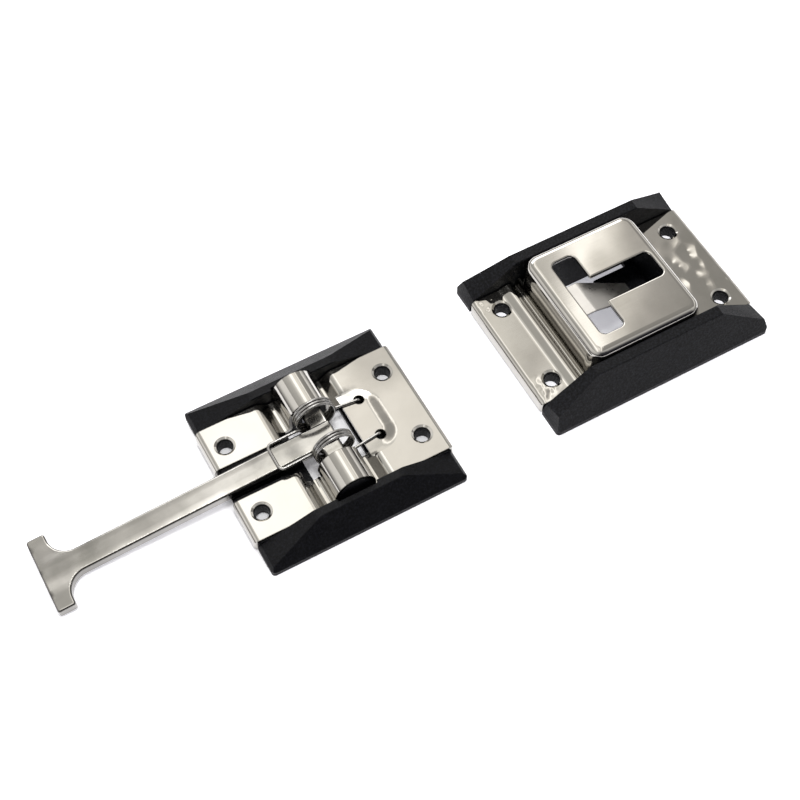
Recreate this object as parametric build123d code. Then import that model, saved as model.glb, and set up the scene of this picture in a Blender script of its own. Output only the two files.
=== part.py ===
"""Door catch in two halves: a sprung T-arm on its bracket, and the slotted keeper that holds it.

Lengths are millimetres. +Z points away from the mounting face at Z = 0. X = 0 and Y = 0 lie at
the arm's pivot, the arm points to -X and the keeper lies along +X.
"""

import os

from build123d import *

# Steel sheet and plastic shared by both halves
SHEET = 1.2
FLANGE_TOP = 6.0
LIP_FOOT = 0.6
LIP_BEND = 1.6
PLATE_CORNER = 1.5
SEAT_GAP = 0.05
RIM_HEIGHT = 2.0
PLASTIC_CORNER = 1.5
PLASTIC_EDGE = 0.5
HOLE_DISH = 0.8
HOLE_DISH_DEPTH = 0.5
PLASTIC_HOLE_R = 2.6

# Arm bracket: steel plate
PLATE_LENGTH = 78.8
PLATE_WIDTH = 49.2
AXIS_Z = 8.0
BARREL_R = 8.0
SHOULDER_X = 14.6
SHOULDER_BEND = 3.6
SHOULDER_RUN = 4.0
VALLEY_Z = 2.4
VALLEY_BEND = 1.65
WINDOW_X = 11.8
WINDOW_WIDTH = 22.4
SILL_WIDTH = 2.6
SILL_HEIGHT = 1.6
SLOT_WIDTH = 14.4
SCREW_X = 31.75
SCREW_Y = 14.87
SCREW_HOLE_R = 3.05

# Arm bracket: raised pad under the spring's legs
PAD_RISE = 0.9
PAD_LENGTH = 8.6
PAD_WIDTH = 17.0
PAD_SLOPE = 5.4
PAD_CORNER = 3.0
LEG_HOLE_X = 18.6
LEG_HOLE_Y = 8.2
LEG_HOLE_R = 2.0
LEG_POCKET_GAP = 0.4
LEG_POCKET_FLOOR = 1.2

# Arm bracket: plastic base
BASE_LENGTH = 77.0
BASE_WIDTH = 72.8
FLANK_GAP = 0.4
FLANK_TOP = 10.0
FLANK_BAND = 3.3
FLANK_FRONT_CREST = 15.5
FLANK_REAR_CREST = 17.0
FLANK_END_HEIGHT = 3.6
FLANK_END_SLOPE = 1.2
CREST_BEND = 9.0
ARM_CHANNEL_WIDTH = 11.2
CHANNEL_FLOOR = 1.6
BARREL_RECESS = 1.4

# T-arm
ARM_WIDTH = 9.06
ARM_THICK = 4.2
ARM_TAIL = 4.5
ARM_REACH = 107.7
ARM_EDGE = 0.8
HEAD_LENGTH = 6.7
HEAD_WIDTH = 29.8
HEAD_FILLET = 7.5
HEAD_CORNER = 1.0
BAR_FRONT = 3.0
BAR_THICK = 3.2
BAR_EDGE = 1.2
BAR_FILLET = 2.0
JOURNAL_R = 3.0
JOURNAL_LENGTH = 8.2
JOURNAL_CLEARANCE = 0.05
SNAP_MOUTH = 5.2
SIDE_PLAY = 0.5

# Torsion spring
WIRE = 1.1
COIL_R = 7.35
COIL_X = 0.4
COIL_Z = 12.4
COIL_PITCH = 1.15
COIL_TURNS = 3
COIL_FRONT_ANGLE = 207.7
COIL_REAR_ANGLE = 310.0
COIL_INNER_Y = 5.5
LOOP_X = 19.5
LOOP_LIFT = 0.05
LOOP_HALF_WIDTH = 5.6
LOOP_BEND = 1.8
LEG_BEND = 2.0
FRONT_LEG_RUN = 1.5
REAR_LEG_RUN = 1.15
LEG_INSET = 0.3
TAIL_BEND = 1.1
TAIL_END_Z = 2.0

# Keeper: where its centre lies, its steel cover and slot
KEEPER_X = 121.8
COVER_LENGTH = 93.2
COVER_WIDTH = 51.0
COVER_TOP = 20.2
BOX_FRONT = 25.0
BOX_REAR = 21.5
BOX_REAR_FOOT = 25.0
FOOT_BEND = 1.8
RIDGE_FOOT = 34.0
RIDGE_X = 29.3
RIDGE_RISE = 2.0
RIDGE_BEND = 2.2
VALLEY_X = 26.0
VALLEY_POINT_Z = 0.6
VALLEY_TIGHT_BEND = 1.2
BOX_FOOT_Z = 8.0
BOX_ROUND = 3.4
BOX_CORNER = 5.5
KEEPER_SCREW_X = 37.4
KEEPER_SCREW_Y = 17.6
KEEPER_HOLE_R = 3.1
CROSS_FRONT = 17.3
CROSS_REAR = 7.5
CROSS_WIDTH = 35.8
STEM_END = 17.9
STEM_WIDTH = 11.8
SLOT_CORNER = 2.4
SLOT_NECK = 0.8
SLOT_ROLL = 0.7

# Keeper: plastic base
KEEPER_BASE_LENGTH = 92.6
KEEPER_BASE_WIDTH = 73.4
KEEPER_FLANK_TOP = 17.8
KEEPER_BAND = 4.4
KEEPER_FRONT_CREST = 27.0
KEEPER_REAR_CREST = 27.0
KEEPER_FRONT_OUTER = 9.4
KEEPER_REAR_OUTER = 7.6
KEEPER_END_INNER = 5.8
KEEPER_END_SLOPE = 1.4
HOLLOW_FRONT = 18.6
HOLLOW_REAR = 19.0
HOLLOW_WIDTH = 36.2
LEDGE_DROP = 1.7
WEB_FRONT = 1.5
WEB_WIDTH = 28.0
WEB_WINDOW = 14.5
WEB_THICK = 2.0

# Keeper: sprung leaf
LEAF_WIDTH = 14.0
LEAF_TIP_WIDTH = 7.5
LEAF_THICK = 0.8
LEAF_GAP = 0.15
LEAF_FRONT = 20.4
LEAF_CREASE = 12.9
LEAF_RUN = 21.0
LEAF_DROP = 10.4
LEAF_BEND = 1.5


def ring_of(points, radii):
    """Closed outline with its own radius at each corner."""
    return FilletPolyline(*points, radius=radii, close=True)


def side_slab(outline, near_y, far_y):
    """Extrude an X-Z outline from one Y to another."""
    face = Plane.XZ.offset(-near_y) * make_face(outline)
    return extrude(face, near_y - far_y)


def both_sides(shape):
    """A shape and its mirror across the middle."""
    return shape + mirror(shape, about=Plane.XZ)


def corners_of(x, y):
    """Four points of a rectangle centred on the origin."""
    return [(sx * x, sy * y) for sx in (-1, 1) for sy in (-1, 1)]


def upright(x, y, radius, low, high):
    """Vertical round from one height to another."""
    return Pos(x, y, (low + high) / 2) * Cylinder(radius, high - low)


def dished_hole(x, y, radius, top):
    """Screw hole with the shallow dish round its rim."""
    dish = Pos(x, y, top - HOLE_DISH_DEPTH / 2) * Cone(
        radius, radius + HOLE_DISH, HOLE_DISH_DEPTH)
    return upright(x, y, radius, top - 2 * SHEET, top + SHEET) + dish


def rounded_plan(length, width, radius, height):
    """Upright block with rounded corners, standing on the mounting face."""
    return extrude(RectangleRounded(length, width, radius), height)


def core_slab(half_length, top_z, width):
    """Flat plastic under a flange, its ends rounded to clear the sheet's bends."""
    outline = ring_of([(-half_length, 0), (half_length, 0), (half_length, top_z),
                       (-half_length, top_z)], [0, 0, LIP_BEND, LIP_BEND])
    return side_slab(outline, -width / 2, width / 2)


def plate_midline():
    """Middle of the bracket's sheet: lip, flange, valley and barrel, mirrored."""
    mid_z = FLANGE_TOP - SHEET / 2
    end_x = PLATE_LENGTH / 2 - SHEET / 2
    barrel_mid = BARREL_R - SHEET / 2
    half = FilletPolyline(
        (end_x, LIP_FOOT), (end_x, mid_z), (SHOULDER_X, mid_z),
        (SHOULDER_X - SHOULDER_RUN, VALLEY_Z), (barrel_mid, VALLEY_Z), (barrel_mid, AXIS_Z),
        radius=[LIP_BEND, SHOULDER_BEND, VALLEY_BEND, VALLEY_BEND])
    crown = CenterArc((0, AXIS_Z), barrel_mid, 0, 180)
    return half + crown + mirror(half, about=Plane.YZ)


def spring_pad(top_z, slope):
    """Raised pad with S-shaped sides, from the window's rear edge backwards."""
    sections = []
    for spread, rise in ((1, 0), (0.85, 0.1), (0.5, 0.5), (0.15, 0.9), (0, 1)):
        wider = slope * spread
        plan = Rectangle(PAD_LENGTH + wider, PAD_WIDTH + 2 * wider,
                         align=(Align.MIN, Align.CENTER))
        plan = fillet(plan.vertices().group_by(Axis.X)[-1], PAD_CORNER + wider)
        sections.append(Pos(WINDOW_X, 0, top_z + PAD_RISE * rise) * plan)
    return loft(sections)


def make_arm_plate():
    """Pressed steel plate whose two half barrels cover the pivot."""
    sheet = extrude(Plane.XZ * trace(plate_midline(), SHEET), PLATE_WIDTH / 2, both=True)
    plate = sheet & rounded_plan(PLATE_LENGTH, PLATE_WIDTH, PLATE_CORNER, AXIS_Z + BARREL_R)
    plate += spring_pad(FLANGE_TOP, PAD_SLOPE)
    plate -= spring_pad(FLANGE_TOP - SHEET, PAD_SLOPE)
    plate -= Box(2 * WINDOW_X, WINDOW_WIDTH, 4 * BARREL_R)
    plate -= extrude(Rectangle(2 * SHOULDER_X + SHEET, WINDOW_WIDTH), FLANGE_TOP - SHEET)
    slot = Rectangle(PLATE_LENGTH / 2, SLOT_WIDTH, align=(Align.MAX, Align.CENTER))
    plate -= extrude(slot, FLANGE_TOP + SHEET)
    for x, y in corners_of(SCREW_X, SCREW_Y):
        plate -= dished_hole(x, y, SCREW_HOLE_R, FLANGE_TOP)
    for y in (-LEG_HOLE_Y, LEG_HOLE_Y):
        plate -= upright(LEG_HOLE_X, y, LEG_HOLE_R, 0, FLANGE_TOP + 2 * PAD_RISE)
    return plate


def flank_section(inner_y, outer_y, top_z, band):
    """Y-Z outline of one flank: rim, outer slope and flat band on top."""
    points = [(inner_y, 0), (outer_y, 0), (outer_y, RIM_HEIGHT), (inner_y + band, top_z),
              (inner_y, top_z)]
    return ring_of(points, [0, 0, PLASTIC_EDGE, PLASTIC_EDGE, PLASTIC_EDGE])


def bracket_flank():
    """Flank on the +Y side, as long as the base."""
    inner_y = PLATE_WIDTH / 2 + FLANK_GAP
    end_x = BASE_LENGTH / 2
    slope_x = end_x - FLANK_END_SLOPE
    outline = ring_of(
        [(-end_x, 0), (end_x, 0), (end_x, RIM_HEIGHT), (slope_x, FLANK_END_HEIGHT),
         (FLANK_REAR_CREST, FLANK_TOP), (-FLANK_FRONT_CREST, FLANK_TOP),
         (-slope_x, FLANK_END_HEIGHT), (-end_x, RIM_HEIGHT)],
        [0, 0, PLASTIC_EDGE, PLASTIC_EDGE, CREST_BEND, CREST_BEND, PLASTIC_EDGE, PLASTIC_EDGE])
    side = side_slab(outline, inner_y, BASE_WIDTH / 2)
    section = make_face(flank_section(inner_y, BASE_WIDTH / 2, FLANK_TOP, FLANK_BAND))
    return side & extrude(Plane.YZ * section, end_x, both=True)


def bearing_block():
    """Block inside the +Y barrel, with the snap bearing that opens downwards."""
    radius = BARREL_R - SHEET - SEAT_GAP
    near_y = WINDOW_WIDTH / 2 + SIDE_PLAY
    far_y = PLATE_WIDTH / 2
    tower = Rectangle(2 * radius, AXIS_Z, align=(Align.CENTER, Align.MIN))
    tower += Pos(0, AXIS_Z) * Circle(radius)
    bore_r = JOURNAL_R + JOURNAL_CLEARANCE
    bore = Pos(0, AXIS_Z) * Circle(bore_r)
    bore += Rectangle(SNAP_MOUTH, AXIS_Z, align=(Align.CENTER, Align.MIN))
    bore_end = WINDOW_WIDTH / 2 + JOURNAL_LENGTH + SIDE_PLAY
    block = extrude(Plane.XZ.offset(-near_y) * tower, near_y - far_y)
    return block, extrude(Plane.XZ.offset(-near_y) * bore, near_y - bore_end)


def make_arm_base():
    """Moulded plastic base of the bracket: core, flanks, bearings and arm channel."""
    core_x = PLATE_LENGTH / 2 - SHEET - SEAT_GAP
    core_top = FLANGE_TOP - SHEET - SEAT_GAP
    core_width = PLATE_WIDTH + 2 * FLANK_GAP
    base = core_slab(core_x, core_top, core_width)
    groove_inner = BARREL_R - SHEET - SEAT_GAP
    groove_outer = SHOULDER_X + 2 * SHEET
    groove_floor = VALLEY_Z - SHEET / 2 - SEAT_GAP
    groove_x = (groove_inner + groove_outer) / 2
    for x in (-groove_x, groove_x):
        base -= Pos(x, 0, groove_floor) * extrude(
            Rectangle(groove_outer - groove_inner, core_width), AXIS_Z)
    base += both_sides(bracket_flank())
    block, bore = bearing_block()
    base += both_sides(block)
    base -= Box(2 * WINDOW_X, WINDOW_WIDTH + 2 * SIDE_PLAY, 4 * BARREL_R)
    sill = Rectangle(SILL_WIDTH, WINDOW_WIDTH + 4 * SIDE_PLAY, align=(Align.MIN, Align.CENTER))
    base += Pos(-WINDOW_X - SIDE_PLAY, 0) * extrude(sill, SILL_HEIGHT)
    base -= both_sides(bore)
    channel = Rectangle(BASE_LENGTH, ARM_CHANNEL_WIDTH, align=(Align.MAX, Align.CENTER))
    base -= Pos(0, 0, CHANNEL_FLOOR) * extrude(channel, FLANGE_TOP)
    recess_y = PLATE_WIDTH / 2
    recess = Pos(0, recess_y, AXIS_Z) * Rot(X=-90) * Cylinder(
        BARREL_R + SEAT_GAP, FLANK_GAP + BARREL_RECESS,
        align=(Align.CENTER, Align.CENTER, Align.MIN))
    base -= both_sides(recess & (Pos(0, 0, core_top) * Box(
        PLATE_LENGTH, 2 * BASE_WIDTH, AXIS_Z, align=(Align.CENTER, Align.CENTER, Align.MIN))))
    base &= rounded_plan(BASE_LENGTH, BASE_WIDTH, PLASTIC_CORNER, FLANK_TOP + BARREL_R)
    for x, y in corners_of(SCREW_X, SCREW_Y):
        base -= upright(x, y, PLASTIC_HOLE_R, 0, FLANGE_TOP)
    for y in (-LEG_HOLE_Y, LEG_HOLE_Y):
        base -= upright(LEG_HOLE_X, y, LEG_HOLE_R + LEG_POCKET_GAP, LEG_POCKET_FLOOR, FLANGE_TOP)
    return base


def arm_pitch():
    """Angle in degrees at which the head's underside touches the mounting face."""
    drop = Vector(ARM_REACH, ARM_THICK / 2, 0)
    lean = Vector(1, 0, 0).get_angle(drop)
    return degrees_of_sine(AXIS_Z / drop.length) - lean


def degrees_of_sine(value):
    """Arc sine in degrees."""
    return 90 - Vector(0, 1, 0).get_angle(Vector((1 - value ** 2) ** 0.5, value, 0))


def edges_of_slab(solid):
    """Edges that lie in a flat slab's two broad faces."""
    return solid.faces().sort_by(Axis.Z)[0].edges() + solid.faces().sort_by(Axis.Z)[-1].edges()


def make_t_arm():
    """Forged steel arm: T head, shank, flat cross bar and its two journals."""
    half, head_half = ARM_WIDTH / 2, HEAD_WIDTH / 2
    neck_x = HEAD_LENGTH - ARM_REACH
    shank = make_face(ring_of(
        [(ARM_TAIL, half), (neck_x, half), (neck_x, head_half), (-ARM_REACH, head_half),
         (-ARM_REACH, -head_half), (neck_x, -head_half), (neck_x, -half), (ARM_TAIL, -half)],
        [ARM_EDGE, HEAD_FILLET, HEAD_CORNER, HEAD_CORNER, HEAD_CORNER, HEAD_CORNER,
         HEAD_FILLET, ARM_EDGE]))
    shank = Pos(0, 0, -ARM_THICK / 2) * extrude(shank, ARM_THICK)
    shank = fillet(edges_of_slab(shank), ARM_EDGE)
    bar_half = WINDOW_WIDTH / 2
    web_x = -BAR_FRONT - 2 * BAR_FILLET
    web_half = half - BAR_EDGE
    bar = make_face(ring_of(
        [(ARM_TAIL, bar_half), (-BAR_FRONT, bar_half), (-BAR_FRONT, half), (web_x, half),
         (web_x - BAR_FILLET, web_half), (web_x - BAR_FILLET, -web_half), (web_x, -half),
         (-BAR_FRONT, -half), (-BAR_FRONT, -bar_half), (ARM_TAIL, -bar_half)],
        [0, 0, BAR_FILLET, 0, 0, 0, 0, BAR_FILLET, 0, 0]))
    bar = Pos(0, 0, -BAR_THICK / 2) * extrude(bar, BAR_THICK)
    rounded = [e for e in edges_of_slab(bar) if abs(e.center().Y) < bar_half - SHEET / 2]
    bar = fillet(rounded, BAR_EDGE)
    journal = Rot(X=90) * Cylinder(JOURNAL_R, 2 * (bar_half + JOURNAL_LENGTH))
    journal -= Box(4 * JOURNAL_R, 2 * bar_half, 4 * JOURNAL_R)
    return Pos(0, 0, AXIS_Z) * Rot(Y=-arm_pitch()) * (shank + bar + journal)


def wire_along(path):
    """Round wire swept along a path."""
    start = Plane(origin=path @ 0, z_dir=path % 0)
    return sweep(start * Circle(WIRE / 2), path=path)


def make_torsion_spring():
    """One wire: two coils round the cross bar, a loop over the arm and two rear legs."""
    front_point = Vector(1, 0, 0).rotate(Axis.Y, -COIL_FRONT_ANGLE)
    turned = 360 * COIL_TURNS + COIL_REAR_ANGLE - COIL_FRONT_ANGLE
    at_front = Plane(origin=(COIL_X, COIL_INNER_Y, COIL_Z), x_dir=front_point, z_dir=(0, 1, 0))
    coil = at_front * Helix(COIL_PITCH, COIL_PITCH * turned / 360, COIL_R, lefthand=True)
    pitch_rise = Vector(LOOP_X, 0, 0).rotate(Axis.Y, arm_pitch()).Z
    loop_z = AXIS_Z + pitch_rise + (ARM_THICK + WIRE) / 2 + LOOP_LIFT
    first, last = coil @ 0, coil @ 1
    front_leg = FilletPolyline(
        first, first - (coil % 0) * FRONT_LEG_RUN, (-LOOP_X, LOOP_HALF_WIDTH, loop_z),
        (-LOOP_X, 0, loop_z), radius=[LEG_BEND, LOOP_BEND])
    rear_corner = last + (coil % 1) * REAR_LEG_RUN
    leg_y = LEG_HOLE_Y - LEG_INSET
    rear_leg = FilletPolyline(
        last, rear_corner, (LEG_HOLE_X, leg_y, rear_corner.Z), (LEG_HOLE_X, leg_y, TAIL_END_Z),
        radius=[LEG_BEND, TAIL_BEND])
    return both_sides(wire_along(coil) + wire_along(front_leg) + wire_along(rear_leg))


def cover_points(inset):
    """Corners of the keeper's sheet in X-Z, moved inwards from its outer face."""
    mid_z = FLANGE_TOP - inset
    end_x = COVER_LENGTH / 2 - inset
    return [
        (-end_x, LIP_FOOT), (-end_x, mid_z), (-RIDGE_FOOT, mid_z),
        (-RIDGE_X, mid_z + RIDGE_RISE), (-VALLEY_X, VALLEY_POINT_Z),
        (-BOX_FRONT + inset, COVER_TOP - inset), (BOX_REAR - inset, COVER_TOP - inset),
        (BOX_REAR_FOOT - inset, mid_z), (end_x, mid_z), (end_x, LIP_FOOT)]


def slot_outline():
    """T-shaped slot in plan: a cross bar for the head and a stem for the shank."""
    cross, stem = CROSS_WIDTH / 2, STEM_WIDTH / 2
    return ring_of(
        [(-CROSS_FRONT, -cross), (-CROSS_REAR, -cross), (-CROSS_REAR, -stem), (STEM_END, -stem),
         (STEM_END, stem), (-CROSS_REAR, stem), (-CROSS_REAR, cross), (-CROSS_FRONT, cross)],
        [SLOT_CORNER, SLOT_CORNER, SLOT_NECK, SLOT_CORNER,
         SLOT_CORNER, SLOT_NECK, SLOT_CORNER, SLOT_CORNER])


def drawn_box():
    """Upper part of the cover: a drawn box with side walls and rounded edges."""
    walls = Polyline(*cover_points(SHEET / 2)[4:8], close=True)
    forms = []
    for inset in (0, SHEET):
        side = offset(make_face(walls), SHEET / 2 - inset, kind=Kind.INTERSECTION)
        side &= Pos(0, BOX_FOOT_Z) * Rectangle(
            COVER_LENGTH, COVER_TOP, align=(Align.CENTER, Align.MIN))
        form = extrude(Plane.XZ * side, COVER_WIDTH / 2 - inset, both=True)
        upper = COVER_TOP - inset - SEAT_GAP
        corners = [e for e in form.edges() if BOX_FOOT_Z + SHEET < e.center().Z < upper]
        form = fillet(corners, BOX_CORNER - inset)
        rim = [e for e in form.edges() if e.center().Z > upper]
        forms.append(fillet(rim, BOX_ROUND - inset))
    return forms[0] - forms[1]


def make_keeper_cover():
    """Pressed steel cover of the keeper, with the T slot in the top of its box."""
    midline = FilletPolyline(*cover_points(SHEET / 2), radius=[
        LIP_BEND, 2 * RIDGE_BEND, RIDGE_BEND, VALLEY_TIGHT_BEND, BOX_ROUND, BOX_ROUND,
        FOOT_BEND, LIP_BEND])
    cover = extrude(Plane.XZ * trace(midline, SHEET), COVER_WIDTH / 2, both=True)
    cover &= rounded_plan(COVER_LENGTH, COVER_WIDTH, PLATE_CORNER, BOX_FOOT_Z)
    cover += drawn_box()
    cover -= extrude(Pos(0, 0, FLANGE_TOP) * make_face(slot_outline()), COVER_TOP)
    top_face = cover.faces().filter_by(Axis.Z).sort_by(Axis.Z)[-1]
    roll = [e for wire in top_face.inner_wires() for e in wire.edges()]
    cover = fillet(roll, SLOT_ROLL)
    for x, y in corners_of(KEEPER_SCREW_X, KEEPER_SCREW_Y):
        cover -= dished_hole(x, y, KEEPER_HOLE_R, FLANGE_TOP)
    return Pos(KEEPER_X, 0, 0) * cover


def keeper_flank():
    """Flank on the +Y side of the keeper; its end ramps fall towards the steel."""
    inner_y, outer_y = COVER_WIDTH / 2 + FLANK_GAP, KEEPER_BASE_WIDTH / 2
    end_x = KEEPER_BASE_LENGTH / 2

    def outline(y, front_z, rear_z):
        slope_x = end_x - KEEPER_END_SLOPE
        points = [(-end_x, 0), (end_x, 0), (end_x, RIM_HEIGHT), (slope_x, rear_z),
                  (KEEPER_REAR_CREST, KEEPER_FLANK_TOP), (-KEEPER_FRONT_CREST, KEEPER_FLANK_TOP),
                  (-slope_x, front_z), (-end_x, RIM_HEIGHT)]
        return Plane.XZ.offset(-y) * make_face(Polyline(*points, close=True))

    side = loft([outline(inner_y, KEEPER_END_INNER, KEEPER_END_INNER),
                 outline(outer_y, KEEPER_FRONT_OUTER, KEEPER_REAR_OUTER)], ruled=True)
    section = make_face(flank_section(inner_y, outer_y, KEEPER_FLANK_TOP, KEEPER_BAND))
    return side & extrude(Plane.YZ * section, end_x, both=True)


def make_keeper_base():
    """Moulded plastic base of the keeper: flange supports, box walls and flanks."""
    core_x = COVER_LENGTH / 2 - SHEET - SEAT_GAP
    core_top = FLANGE_TOP - SHEET - SEAT_GAP
    core_half = COVER_WIDTH / 2 + FLANK_GAP
    base = core_slab(core_x, core_top, 2 * core_half)
    front_wall = BOX_FRONT - 2 * SHEET
    base -= side_slab(Polyline(
        (-RIDGE_X - SHEET, core_top + SHEET), (-RIDGE_X - SHEET, core_top),
        (-VALLEY_X - SHEET, VALLEY_POINT_Z), (-front_wall, VALLEY_POINT_Z),
        (-front_wall, core_top + SHEET), close=True), -core_half, core_half)
    box_half = COVER_WIDTH / 2 - 2 * SHEET - SEAT_GAP
    box_top = COVER_TOP - SHEET - SEAT_GAP
    box = side_slab(ring_of(
        [(-front_wall, 0), (BOX_REAR_FOOT - 2 * SHEET, 0), (BOX_REAR_FOOT - 2 * SHEET, core_top),
         (BOX_REAR - 2 * SHEET, box_top), (-front_wall, box_top)],
        [0, 0, 0, BOX_ROUND, BOX_ROUND]), -box_half, box_half)
    box &= extrude(Plane.YZ * make_face(ring_of(
        [(-box_half, 0), (box_half, 0), (box_half, box_top), (-box_half, box_top)],
        [0, 0, BOX_ROUND, BOX_ROUND])), COVER_LENGTH, both=True)
    base += box + both_sides(keeper_flank())
    hollow = Rectangle(HOLLOW_FRONT + HOLLOW_REAR, HOLLOW_WIDTH)
    hollow = Pos((HOLLOW_REAR - HOLLOW_FRONT) / 2, 0) * hollow
    base -= Pos(0, 0, WEB_THICK) * extrude(hollow, 2 * COVER_TOP)
    from_web = (Align.MIN, Align.CENTER)
    web = Pos(WEB_FRONT, 0) * Rectangle(COVER_LENGTH, WEB_WIDTH, align=from_web)
    web += Pos(WEB_FRONT + WEB_WINDOW, 0) * Rectangle(COVER_LENGTH, COVER_WIDTH, align=from_web)
    base -= extrude(hollow - web, COVER_TOP)
    ledge = Rectangle(front_wall, LEAF_WIDTH + 4 * LEAF_GAP, align=(Align.MAX, Align.CENTER))
    base -= Pos(0, 0, box_top - LEDGE_DROP) * extrude(ledge, COVER_TOP)
    base &= rounded_plan(KEEPER_BASE_LENGTH, KEEPER_BASE_WIDTH, PLASTIC_CORNER, COVER_TOP)
    for x, y in corners_of(KEEPER_SCREW_X, KEEPER_SCREW_Y):
        base -= upright(x, y, PLASTIC_HOLE_R, 0, FLANGE_TOP)
    return Pos(KEEPER_X, 0, 0) * base


def make_keeper_leaf():
    """Spring steel leaf under the slot: a flat land, then a tapering ramp down to the rear."""
    top = COVER_TOP - SHEET - LEAF_GAP - LEAF_THICK / 2
    line = FilletPolyline(
        (-LEAF_FRONT, top), (-LEAF_CREASE, top), (LEAF_RUN - LEAF_CREASE, top - LEAF_DROP),
        radius=[LEAF_BEND])
    strip = extrude(Plane.XZ * trace(line, LEAF_THICK), LEAF_WIDTH / 2, both=True)
    tip_x = LEAF_RUN - LEAF_CREASE + LEAF_THICK
    half, tip = LEAF_WIDTH / 2, LEAF_TIP_WIDTH / 2
    plan = Polyline((-LEAF_FRONT, half), (-LEAF_CREASE, half), (tip_x, tip), (tip_x, -tip),
                    (-LEAF_CREASE, -half), (-LEAF_FRONT, -half), close=True)
    return Pos(KEEPER_X, 0, 0) * (strip & extrude(make_face(plan), COVER_TOP))


PIECES = {
    "arm_base": make_arm_base,
    "arm_plate": make_arm_plate,
    "t_arm": make_t_arm,
    "torsion_spring": make_torsion_spring,
    "keeper_base": make_keeper_base,
    "keeper_cover": make_keeper_cover,
    "keeper_leaf": make_keeper_leaf,
}

os.makedirs("parts", exist_ok=True)
for name, make in PIECES.items():
    piece = make()
    export_step(piece, f"parts/{name}.step")
    print(name, "solids", len(piece.solids()), "volume", round(piece.volume, 1))
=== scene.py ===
"""Looks of the door catch: polished steel, grained black plastic and the sprung wire.

Lengths are metres, in the CAD frame: +Z up from the mounting face, the pivot at X = 0 and Y = 0,
the arm towards -X and the keeper towards +X.
"""

import math

import bmesh
import bpy
from mathutils import Matrix, Vector


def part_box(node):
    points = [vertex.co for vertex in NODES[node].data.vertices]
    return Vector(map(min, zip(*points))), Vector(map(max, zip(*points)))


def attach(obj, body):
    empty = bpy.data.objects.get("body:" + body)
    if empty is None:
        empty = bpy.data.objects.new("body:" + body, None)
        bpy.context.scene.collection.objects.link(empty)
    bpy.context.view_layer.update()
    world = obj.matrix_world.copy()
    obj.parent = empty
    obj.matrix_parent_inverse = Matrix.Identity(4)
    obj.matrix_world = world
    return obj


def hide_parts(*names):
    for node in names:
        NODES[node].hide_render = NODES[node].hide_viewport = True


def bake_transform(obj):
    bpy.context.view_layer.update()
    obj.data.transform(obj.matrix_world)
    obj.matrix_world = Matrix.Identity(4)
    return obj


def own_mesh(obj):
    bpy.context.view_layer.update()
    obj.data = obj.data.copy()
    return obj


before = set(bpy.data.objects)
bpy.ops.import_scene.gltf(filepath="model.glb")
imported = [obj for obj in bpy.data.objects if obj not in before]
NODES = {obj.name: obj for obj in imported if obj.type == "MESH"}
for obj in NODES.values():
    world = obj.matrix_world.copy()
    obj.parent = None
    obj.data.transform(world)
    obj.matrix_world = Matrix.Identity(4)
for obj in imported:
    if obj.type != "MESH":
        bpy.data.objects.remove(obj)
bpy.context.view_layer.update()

# Camera, fitted to the photograph
CAMERA_PLACE = Vector((-0.10012, -0.24275, 0.46072))
CAMERA_AZIMUTH = math.radians(61.62)
CAMERA_ELEVATION = math.radians(58.62)
CAMERA_ROLL = math.radians(-0.68)
SENSOR_WIDTH = 36.0
LENS = 66.43
NEAREST_SEEN = 0.01

# Torsion spring: its coils' centre in X and Z, and how far from it the coils' wire lies at most
COIL_CENTRE = Vector((0.0004, 0.0124))
COIL_REACH = 0.0080
SAME_POINT = 1e-6

# The front legs go over from the bracket to the arm between these X places, where they are cut into
# rings
WIND_START = -0.0076
WIND_END = -0.0150
WIND_STEPS = 16

# The rear legs stay put in the plate; they are cut into rings from this X place to the coils
REAR_LEG_HELD = 0.0170
REAR_LEG_STEPS = 8

# Ripples in the keeper's cover: centre, radius, scale and depth
KEEPER_MIDDLE = (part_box("keeper_cover")[0].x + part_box("keeper_cover")[1].x) / 2
COVER_DENTS = (
    ((KEEPER_MIDDLE + 0.0385, -0.002, 0.006), 0.022, 160, 0.00042),
    ((KEEPER_MIDDLE - 0.0435, -0.0195, 0.006), 0.009, 360, 0.00022),
    ((KEEPER_MIDDLE - 0.0425, 0.0225, 0.006), 0.007, 360, 0.00022),
)
DENT_SOFTNESS = 0.6

# Darker spots on the steel: centre, radius and tone, darker as it falls. On the plate they are
# painted shade that dims its reflections; on the arm they are stained spots
PLATE_SHADE_SPOTS = (
    ((0.034, 0.022, 0.006), 0.022, 0.76),
    ((0.0165, 0.0125, 0.007), 0.0050, 0.42),
)
ARM_STAINS = (
    ((-0.1080, -0.016, 0.005), 0.0030, 0.40),
    ((-0.1080, -0.008, 0.005), 0.0024, 0.40),
    ((-0.1085, 0.001, 0.005), 0.0026, 0.45),
    ((-0.1080, 0.011, 0.005), 0.0024, 0.45),
    ((-0.1070, 0.020, 0.005), 0.0030, 0.45),
    ((-0.1000, 0.000, 0.005), 0.0080, 0.84),
    ((-0.0900, 0.003, 0.006), 0.0050, 0.80),
    ((-0.0260, 0.003, 0.009), 0.0050, 0.72),
    ((-0.0120, -0.002, 0.010), 0.0050, 0.62),
)

# Where a stain, painted shade spot or dent starts and ends to fade, in shares of its radius
BORDER_START = 0.7
BORDER_END = 1.5

# Painted shade along sharp edges, and how far two normals agree there and on flat steel
EDGE_RADIUS = 0.0006
EDGE_SHADE_TONE = 0.30
EDGE_AGREES = 0.78
FLAT_AGREES = 0.995

# Painted shade on a steel face by how far it faces up; the arm's also darkens its fillets
WALL_SHADE_TONES = ((0.0, 0.68), (0.55, 0.68), (0.88, 0.88), (1.0, 1.0))
FORGED_SHADE_TONES = ((0.0, 0.62), (0.2, 0.50), (0.35, 0.22), (0.85, 0.25), (0.97, 0.95), (1.0, 1.0))

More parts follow.
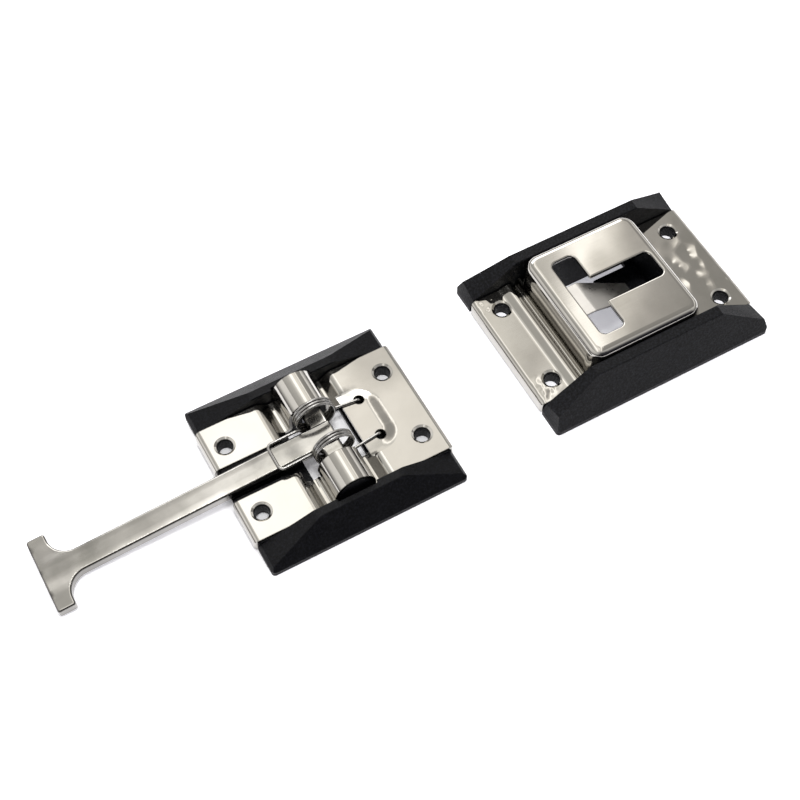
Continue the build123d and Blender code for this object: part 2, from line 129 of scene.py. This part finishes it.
# Crown of the arm: half widths of its flat middle and of the arm, its overhang and its depth
ARM_CROWN = (0.0015, 0.0055)
CROWN_OVERHANG = 1.6
CROWN_DEPTH = 0.0007

# Steel: share of the roughness at the shiniest and dullest spots, and depths of waves and scratches
ROUGH_LEAST = 0.6
ROUGH_MOST = 2.6
WAVE_DEPTH = 0.001
SCRATCH_DEPTH = 0.00002
SCRATCH_STRENGTH = 0.25

# Plastic: its darkest tone and shine, how far its roughness falls and rises, its grains' depths
PLASTIC_DARK = (0.0004, 0.0005, 0.0010)
PLASTIC_SHINE = 0.14
RUBBED = 0.08
MATT = 0.14
COARSE_DEPTH = 0.00015
COARSE_STRENGTH = 0.6
GRAIN_DEPTH = 0.00012

# Floor: half size of the painted shadow below the bracket, where it fades, its tone and the floor's
# glow
BASE_HALF = (0.042, 0.034)
PATCH_FADE = 0.92
PAINTED_SHADOW_TONE = 0.25
FLOOR_GLOW = (0.93, 0.93, 1.0)
FLOOR_GLOW_STRENGTH = 0.42
FLOOR_COLOUR = (0.93, 0.93, 0.95)
FLOOR_ROUGHNESS = 0.9
FLOOR_SIZE = 6.0
FLOOR_DROP = 0.00005

# Ceiling card and the bands across it, from its -X side, slanted in Y
CEILING_HEIGHT = 0.9
CEILING_SIZE = 2.4
CEILING_CENTRE = (0.45, 0.75)
CEILING_SLANT = -0.55
CEILING_BANDS = (
    (0.000, (0.45, 0.44, 0.42)),
    (0.280, (0.55, 0.54, 0.51)),
    (0.365, (0.85, 0.83, 0.79)),
    (0.390, (1.45, 1.43, 1.38)),
    (0.448, (1.55, 1.52, 1.44)),
    (0.468, (1.00, 0.96, 0.89)),
    (0.550, (0.90, 0.87, 0.81)),
    (0.568, (0.62, 0.60, 0.56)),
    (0.578, (0.90, 0.87, 0.82)),
    (0.592, (1.70, 1.66, 1.58)),
    (0.604, (1.00, 0.96, 0.89)),
    (0.622, (0.50, 0.48, 0.45)),
    (0.650, (0.34, 0.33, 0.31)),
    (1.000, (0.30, 0.29, 0.28)),
)

# Room round the object: tones from the -Y side upwards and to +Y, brighter to both sides in X
ROOM_RISE_SHARE = 0.75
ROOM_WING_START = 0.3
ROOM_WING_GAIN = 0.65
ROOM_DARKEST = -1.0
ROOM_BRIGHTEST = 1.25
ROOM_TONES = (
    (0.00, (0.02, 0.02, 0.025)),
    (0.28, (0.05, 0.05, 0.06)),
    (0.37, (0.26, 0.255, 0.25)),
    (0.45, (0.52, 0.51, 0.50)),
    (0.55, (0.66, 0.65, 0.63)),
    (0.72, (0.85, 0.83, 0.80)),
    (1.00, (1.0, 0.98, 0.95)),
)

# The room's horizon and below are dimmed to this share, up to this height of the view direction
HORIZON_SHARE = 0.18
HORIZON_TOP = 0.42


def new_material(name):
    """A node material, with its nodes and links."""
    material = bpy.data.materials.new(name)
    material.use_nodes = True
    return material, material.node_tree.nodes, material.node_tree.links


def vector_maths(nodes, links, operation, value, other=None):
    """One vector operation on a socket, with a constant or nothing beside it."""
    node = nodes.new("ShaderNodeVectorMath")
    node.operation = operation
    if other is not None:
        node.inputs[1].default_value = other
    links.new(value, node.inputs[0])
    return node


def maths(nodes, links, operation, *values):
    """One operation on numbers; each value is a socket or a constant."""
    node = nodes.new("ShaderNodeMath")
    node.operation = operation
    for socket, value in zip(node.inputs, values):
        if isinstance(value, (int, float)):
            socket.default_value = value
        else:
            links.new(value, socket)
    return node.outputs[0]


def split(nodes, links, vector):
    """A vector's X, Y and Z sockets."""
    parts = nodes.new("ShaderNodeSeparateXYZ")
    links.new(vector, parts.inputs[0])
    return parts.outputs


def span(nodes, links, value, low, high, start=0.0, end=1.0, smooth=False):
    """Maps start..end to low..high and holds it there outside."""
    node = nodes.new("ShaderNodeMapRange")
    if smooth:
        node.interpolation_type = "SMOOTHSTEP"
    node.inputs["From Min"].default_value = start
    node.inputs["From Max"].default_value = end
    node.inputs["To Min"].default_value = low
    node.inputs["To Max"].default_value = high
    links.new(value, node.inputs["Value"])
    return node.outputs["Result"]


def noise(nodes, links, vector, scale, detail=3.0, roughness=0.5):
    """Noise texture on a coordinate."""
    texture = nodes.new("ShaderNodeTexNoise")
    texture.inputs["Scale"].default_value = scale
    texture.inputs["Detail"].default_value = detail
    texture.inputs["Roughness"].default_value = roughness
    links.new(vector, texture.inputs["Vector"])
    return texture.outputs["Fac"]


def ramp(nodes, links, value, stops):
    """Colour ramp with (position, colour) stops."""
    node = nodes.new("ShaderNodeValToRGB")
    elements = node.color_ramp.elements
    while len(elements) < len(stops):
        elements.new(0.5)
    for element, (position, colour) in zip(elements, stops):
        element.position = position
        element.color = (*colour, 1)
    links.new(value, node.inputs["Fac"])
    return node.outputs["Color"]


def bump(nodes, links, height, distance, strength, base=None):
    """Bump of that depth in metres, on top of another."""
    node = nodes.new("ShaderNodeBump")
    node.inputs["Distance"].default_value = distance
    node.inputs["Strength"].default_value = strength
    links.new(height, node.inputs["Height"])
    if base is not None:
        links.new(base, node.inputs["Normal"])
    return node.outputs["Normal"]


def stretched(nodes, links, vector, scale):
    """Coordinate times its own factor along each axis."""
    return vector_maths(nodes, links, "MULTIPLY", vector, scale).outputs["Vector"]


def scaled(nodes, links, colour, factor):
    """Colour times a number's socket."""
    node = vector_maths(nodes, links, "SCALE", colour)
    links.new(factor, node.inputs["Scale"])
    return node.outputs["Vector"]


def nearness(nodes, links, place, centre, radius, inside, outside, detail=0):
    """One value near a point and another further off, with a wavy or ragged border."""
    reach = vector_maths(nodes, links, "DISTANCE", place, centre).outputs["Value"]
    waves = noise(nodes, links, place, 1 / radius, detail)
    ragged = maths(nodes, links, "MULTIPLY_ADD", waves, radius, reach)
    return span(nodes, links, ragged, inside, outside,
                radius * BORDER_START, radius * BORDER_END, smooth=True)


def dent(nodes, links, place, spot, base):
    """Small pools pressed into the sheet round one spot, on top of another bump."""
    centre, radius, scale, depth = spot
    pools = nodes.new("ShaderNodeTexVoronoi")
    pools.feature = "SMOOTH_F1"
    pools.inputs["Scale"].default_value = scale
    pools.inputs["Smoothness"].default_value = DENT_SOFTNESS
    links.new(place, pools.inputs["Vector"])
    near = nearness(nodes, links, place, centre, radius, 1.0, 0.0)
    height = maths(nodes, links, "MULTIPLY", pools.outputs["Distance"], near)
    return bump(nodes, links, height, depth, 1.0, base)


def painted_edge_shade(nodes, links, radius, tone):
    """Painted shade along sharp edges: a darker tone where the bevelled normal turns from the
    face's own.
    """
    rounded = nodes.new("ShaderNodeBevel")
    rounded.samples = 4
    rounded.inputs["Radius"].default_value = radius
    facing = vector_maths(nodes, links, "DOT_PRODUCT", rounded.outputs["Normal"])
    links.new(nodes.new("ShaderNodeNewGeometry").outputs["Normal"], facing.inputs[1])
    return span(nodes, links, facing.outputs["Value"], tone, 1.0, EDGE_AGREES, FLAT_AGREES)


def painted_wall_shade(nodes, links, coordinates, tones):
    """Painted shade: a darker tone on walls and rounded edges than on the upper faces."""
    up = split(nodes, links, coordinates.outputs["Normal"])["Z"]
    return ramp(nodes, links, up, [(height, (tone,) * 3) for height, tone in tones])


def crown_height(nodes, links, place, flat, half):
    """High along a bar's middle, falling towards its long edges."""
    off_middle = maths(nodes, links, "ABSOLUTE", split(nodes, links, place)["Y"])
    return span(nodes, links, off_middle, 1.0, 0.0, flat, half * CROWN_OVERHANG, smooth=True)


def polished_steel(name, dark, light, rough, waviness, scratch_axes, dents=(), stains_and_shade=(),
                   crown=None, walls=WALL_SHADE_TONES):
    """Mirror-polished steel: slow waves, fine polishing scratches, cloudy patches, stained spots
    and painted shade spots, with painted shade on walls and along sharp edges.
    """
    material, nodes, links = new_material(name)
    shader = nodes["Principled BSDF"]
    coordinates = nodes.new("ShaderNodeTexCoord")
    place = coordinates.outputs["Object"]
    clouds = noise(nodes, links, place, 60, 4)
    colour = ramp(nodes, links, clouds, [(0.3, dark), (0.7, light)])
    # Painted shade on walls and sloped faces, by how far they face up
    colour = scaled(nodes, links, colour, painted_wall_shade(nodes, links, coordinates, walls))
    # Painted shade along sharp edges
    colour = scaled(nodes, links, colour, painted_edge_shade(nodes, links, EDGE_RADIUS, EDGE_SHADE_TONE))
    # Stained spots, and painted shade spots that dim reflections, darken the colour round each
    # centre
    for centre, radius, tone in stains_and_shade:
        colour = scaled(nodes, links, colour,
                        nearness(nodes, links, place, centre, radius, tone, 1.0, 3))
    links.new(colour, shader.inputs["Base Color"])
    shader.inputs["Metallic"].default_value = 1.0
    scratches = noise(nodes, links, stretched(nodes, links, place, scratch_axes), 1.0, 5, 0.7)
    smears = noise(nodes, links, place, 140, 5, 0.65)
    dullness = maths(nodes, links, "MULTIPLY", scratches, smears)
    links.new(span(nodes, links, dullness, rough * ROUGH_LEAST, rough * ROUGH_MOST),
              shader.inputs["Roughness"])
    waves = noise(nodes, links, place, 45, 1, 0.3)
    wavy = bump(nodes, links, waves, WAVE_DEPTH, waviness)
    if crown is not None:
        wavy = bump(nodes, links, crown_height(nodes, links, place, *crown), CROWN_DEPTH, 1.0,
                    wavy)
    for spot in dents:
        wavy = dent(nodes, links, place, spot, wavy)
    fine = bump(nodes, links, scratches, SCRATCH_DEPTH, SCRATCH_STRENGTH, wavy)
    links.new(fine, shader.inputs["Normal"])
    return material


def grained_plastic(name, dark, light, rough, shine):
    """Black moulded plastic with a fine spark-eroded grain, slight mottling and rubbed spots."""
    material, nodes, links = new_material(name)
    shader = nodes["Principled BSDF"]
    place = nodes.new("ShaderNodeTexCoord").outputs["Object"]
    mottle = noise(nodes, links, place, 90, 6, 0.7)
    speckle = noise(nodes, links, place, 1300, 2, 0.6)
    links.new(ramp(nodes, links, speckle, [(0.42, dark), (0.66, light)]),
              shader.inputs["Base Color"])
    shader.inputs["Specular IOR Level"].default_value = shine
    links.new(span(nodes, links, mottle, rough - RUBBED, rough + MATT), shader.inputs["Roughness"])
    grain = noise(nodes, links, place, 2600, 2, 0.6)
    coarse = noise(nodes, links, place, 900, 2, 0.5)
    rippled = bump(nodes, links, coarse, COARSE_DEPTH, COARSE_STRENGTH)
    links.new(bump(nodes, links, grain, GRAIN_DEPTH, 1.0, rippled), shader.inputs["Normal"])
    return material


def paint(node, material):
    """Gives a CAD node one material."""
    mesh = NODES[node].data
    mesh.materials.clear()
    mesh.materials.append(material)


def dress_nodes():
    """A material for each CAD node."""
    plate = polished_steel("polished_plate", dark=(0.68, 0.66, 0.62), light=(0.76, 0.74, 0.70),
                           rough=0.07, waviness=0.12, scratch_axes=(60, 900, 900),
                           stains_and_shade=PLATE_SHADE_SPOTS)
    cover = polished_steel("polished_cover", dark=(0.64, 0.62, 0.58), light=(0.74, 0.72, 0.68),
                           rough=0.05, waviness=0.16, scratch_axes=(60, 900, 900),
                           dents=COVER_DENTS)
    forged = polished_steel("polished_arm", dark=(0.42, 0.41, 0.38), light=(0.66, 0.64, 0.61),
                            rough=0.13, waviness=0.75, scratch_axes=(60, 500, 500),
                            stains_and_shade=ARM_STAINS, crown=ARM_CROWN, walls=FORGED_SHADE_TONES)
    wire = polished_steel("drawn_wire", dark=(0.42, 0.41, 0.40), light=(0.60, 0.59, 0.57),
                          rough=0.22, waviness=0.1, scratch_axes=(900, 900, 900))
    strip = polished_steel("satin_strip", dark=(0.70, 0.68, 0.65), light=(0.80, 0.78, 0.75),
                           rough=0.30, waviness=0.1, scratch_axes=(100, 1400, 1400))
    bracket = grained_plastic("grained_bracket", dark=PLASTIC_DARK,
                              light=(0.0045, 0.0048, 0.0070), rough=0.40, shine=PLASTIC_SHINE)
    keeper = grained_plastic("grained_keeper", dark=PLASTIC_DARK,
                             light=(0.0085, 0.0090, 0.0120), rough=0.46, shine=PLASTIC_SHINE)
    paint("arm_plate", plate)
    paint("keeper_cover", cover)
    paint("t_arm", forged)
    paint("torsion_spring", wire)
    paint("keeper_leaf", strip)
    paint("arm_base", bracket)
    paint("keeper_base", keeper)


def spring_share(name, wanted, cuts=()):
    """Part of the spring's wire as a piece of its own, with rings cut in where it bends."""
    mesh = NODES["torsion_spring"].data.copy()
    bm = bmesh.new()
    bm.from_mesh(mesh)
    dropped = [face for face in bm.faces if not wanted(face.calc_center_median())]
    bmesh.ops.delete(bm, geom=dropped, context="FACES")
    bmesh.ops.remove_doubles(bm, verts=bm.verts, dist=SAME_POINT)
    for x in cuts:
        everything = bm.verts[:] + bm.edges[:] + bm.faces[:]
        bmesh.ops.bisect_plane(bm, geom=everything, plane_co=(x, 0, 0), plane_no=(1, 0, 0))
    for face in bm.faces:
        face.smooth = True
    bm.to_mesh(mesh)
    bm.free()
    piece = bpy.data.objects.new(name, mesh)
    bpy.context.scene.collection.objects.link(piece)
    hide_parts("torsion_spring")
    return piece


def past_coils(point):
    """Whether a point of the wire lies outside the coils, in a leg."""
    return (Vector((point.x, point.z)) - COIL_CENTRE).length > COIL_REACH


def even_cuts(start, end, steps):
    """Places of evenly spaced rings, both ends among them."""
    return [start + (end - start) * i / steps for i in range(steps + 1)]


def make_spring():
    """Coils round the bar, kept with the bracket, and rear legs in the plate and a front loop by
    the arm as pieces of their own.
    """
    coils = spring_share("spring_coils", lambda point: not past_coils(point))
    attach(coils, "bracket")
    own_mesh(coils)
    rear = spring_share("spring_rear_legs", lambda point: point.x > 0 and past_coils(point),
                        even_cuts(REAR_LEG_HELD, COIL_REACH, REAR_LEG_STEPS))
    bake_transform(rear)
    loop = spring_share("spring_front_loop", lambda point: point.x < 0 and past_coils(point),
                        even_cuts(WIND_START, WIND_END, WIND_STEPS))
    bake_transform(loop)


def make_stage_plane(name, size, place, material):
    """Level square card that is part of the stage."""
    bm = bmesh.new()
    bmesh.ops.create_grid(bm, x_segments=1, y_segments=1, size=size / 2)
    mesh = bpy.data.meshes.new(name)
    bm.to_mesh(mesh)
    bm.free()
    card = bpy.data.objects.new(name, mesh)
    card.location = place
    bpy.context.scene.collection.objects.link(card)
    mesh.materials.append(material)
    return card


def painted_shadow_under_base(nodes, links, place, half):
    """Painted shadow: dim below the bracket's footprint round the origin, 1 outside it."""
    share = vector_maths(nodes, links, "DIVIDE", place, (*half, 1)).outputs["Vector"]
    size = split(nodes, links, vector_maths(nodes, links, "ABSOLUTE", share).outputs["Vector"])
    most = maths(nodes, links, "MAXIMUM", size["X"], size["Y"])
    return span(nodes, links, most, PAINTED_SHADOW_TONE, 1.0, PATCH_FADE)


def make_floor():
    """Plain pale glowing floor at the mounting face, with a painted shadow in its glow below the
    bracket.
    """
    material, nodes, links = new_material("pale_floor")
    shader = nodes["Principled BSDF"]
    place = nodes.new("ShaderNodeTexCoord").outputs["Object"]
    # Painted shadow: the floor's glow is dimmed below the bracket
    glow = ramp(nodes, links, painted_shadow_under_base(nodes, links, place, BASE_HALF),
                [(0.0, (0, 0, 0)), (1.0, FLOOR_GLOW)])
    links.new(glow, shader.inputs["Emission Color"])
    shader.inputs["Base Color"].default_value = (*FLOOR_COLOUR, 1)
    shader.inputs["Roughness"].default_value = FLOOR_ROUGHNESS
    shader.inputs["Emission Strength"].default_value = FLOOR_GLOW_STRENGTH
    make_stage_plane("floor", FLOOR_SIZE, (0, 0, -FLOOR_DROP), material)


def make_ceiling():
    """Soft overhead card whose bright and dim bands show in the polished steel."""
    material, nodes, links = new_material("ceiling_card")
    nodes.remove(nodes["Principled BSDF"])
    glow = nodes.new("ShaderNodeEmission")
    place = split(nodes, links, nodes.new("ShaderNodeTexCoord").outputs["Object"])
    slant = maths(nodes, links, "MULTIPLY_ADD", place["Y"], CEILING_SLANT, place["X"])
    along = span(nodes, links, slant, 0.0, 1.0, -CEILING_SIZE / 2, CEILING_SIZE / 2)
    links.new(ramp(nodes, links, along, CEILING_BANDS), glow.inputs["Color"])
    glow.inputs["Strength"].default_value = 1.0
    links.new(glow.outputs["Emission"], nodes["Material Output"].inputs["Surface"])
    card = make_stage_plane("ceiling", CEILING_SIZE, (*CEILING_CENTRE, CEILING_HEIGHT), material)
    card.visible_camera = False
    card.visible_shadow = False


def make_world():
    """White to the camera; to the object, a soft room that is dim on the camera's side."""
    world = bpy.data.worlds.new("studio")
    world.use_nodes = True
    bpy.context.scene.world = world
    nodes, links = world.node_tree.nodes, world.node_tree.links
    room = nodes["Background"]
    direction = split(nodes, links, nodes.new("ShaderNodeTexCoord").outputs["Generated"])
    slope = maths(nodes, links, "MULTIPLY_ADD", direction["Z"], ROOM_RISE_SHARE, direction["Y"])
    sideways = maths(nodes, links, "ABSOLUTE", direction["X"])
    wings = span(nodes, links, sideways, 0.0, ROOM_WING_GAIN, ROOM_WING_START)
    both = maths(nodes, links, "ADD", slope, wings)
    along = span(nodes, links, both, 0.0, 1.0, ROOM_DARKEST, ROOM_BRIGHTEST)
    tones = ramp(nodes, links, along, ROOM_TONES)
    rise = span(nodes, links, direction["Z"], HORIZON_SHARE, 1.0, 0.0, HORIZON_TOP, smooth=True)
    links.new(scaled(nodes, links, tones, rise), room.inputs["Color"])
    room.inputs["Strength"].default_value = 1.0
    backdrop = nodes.new("ShaderNodeBackground")
    backdrop.inputs["Color"].default_value = (1, 1, 1, 1)
    backdrop.inputs["Strength"].default_value = 1.0
    mix = nodes.new("ShaderNodeMixShader")
    links.new(nodes.new("ShaderNodeLightPath").outputs["Is Camera Ray"], mix.inputs[0])
    links.new(room.outputs[0], mix.inputs[1])
    links.new(backdrop.outputs[0], mix.inputs[2])
    links.new(mix.outputs[0], nodes["World Output"].inputs["Surface"])


def make_light(name, place, target, size, power):
    """Square area light aimed at a point."""
    lamp = bpy.data.lights.new(name, "AREA")
    lamp.shape = "SQUARE"
    lamp.size = size
    lamp.energy = power
    light = bpy.data.objects.new(name, lamp)
    light.location = place
    aim = Vector(target) - Vector(place)
    light.rotation_euler = aim.to_track_quat("-Z", "Y").to_euler()
    bpy.context.scene.collection.objects.link(light)


def make_camera():
    """Camera at the photograph's place and angle."""
    lens = bpy.data.cameras.new("camera")
    lens.sensor_width = SENSOR_WIDTH
    lens.lens = LENS
    lens.clip_start = NEAREST_SEEN
    camera = bpy.data.objects.new("camera", lens)
    forward = Vector((math.cos(CAMERA_ELEVATION) * math.cos(CAMERA_AZIMUTH),
                      math.cos(CAMERA_ELEVATION) * math.sin(CAMERA_AZIMUTH),
                      -math.sin(CAMERA_ELEVATION)))
    right = forward.cross(Vector((0, 0, 1))).normalized()
    up = right.cross(forward)
    right_rolled = right * math.cos(CAMERA_ROLL) + up * math.sin(CAMERA_ROLL)
    up_rolled = up * math.cos(CAMERA_ROLL) - right * math.sin(CAMERA_ROLL)
    turn = Matrix((right_rolled, up_rolled, -forward)).transposed()
    camera.matrix_world = Matrix.Translation(CAMERA_PLACE) @ turn.to_4x4()
    bpy.context.scene.collection.objects.link(camera)
    bpy.context.scene.camera = camera


dress_nodes()
make_spring()
make_floor()
make_ceiling()
make_world()
make_light("far_softbox", place=(0.25, 0.9, 0.9), target=(0.05, 0, 0), size=0.9, power=6)
make_light("overhead", place=(0.03, 0, 1.2), target=(0.03, 0, 0), size=0.25, power=6)
make_camera()
bpy.context.scene.view_settings.view_transform = "Standard"
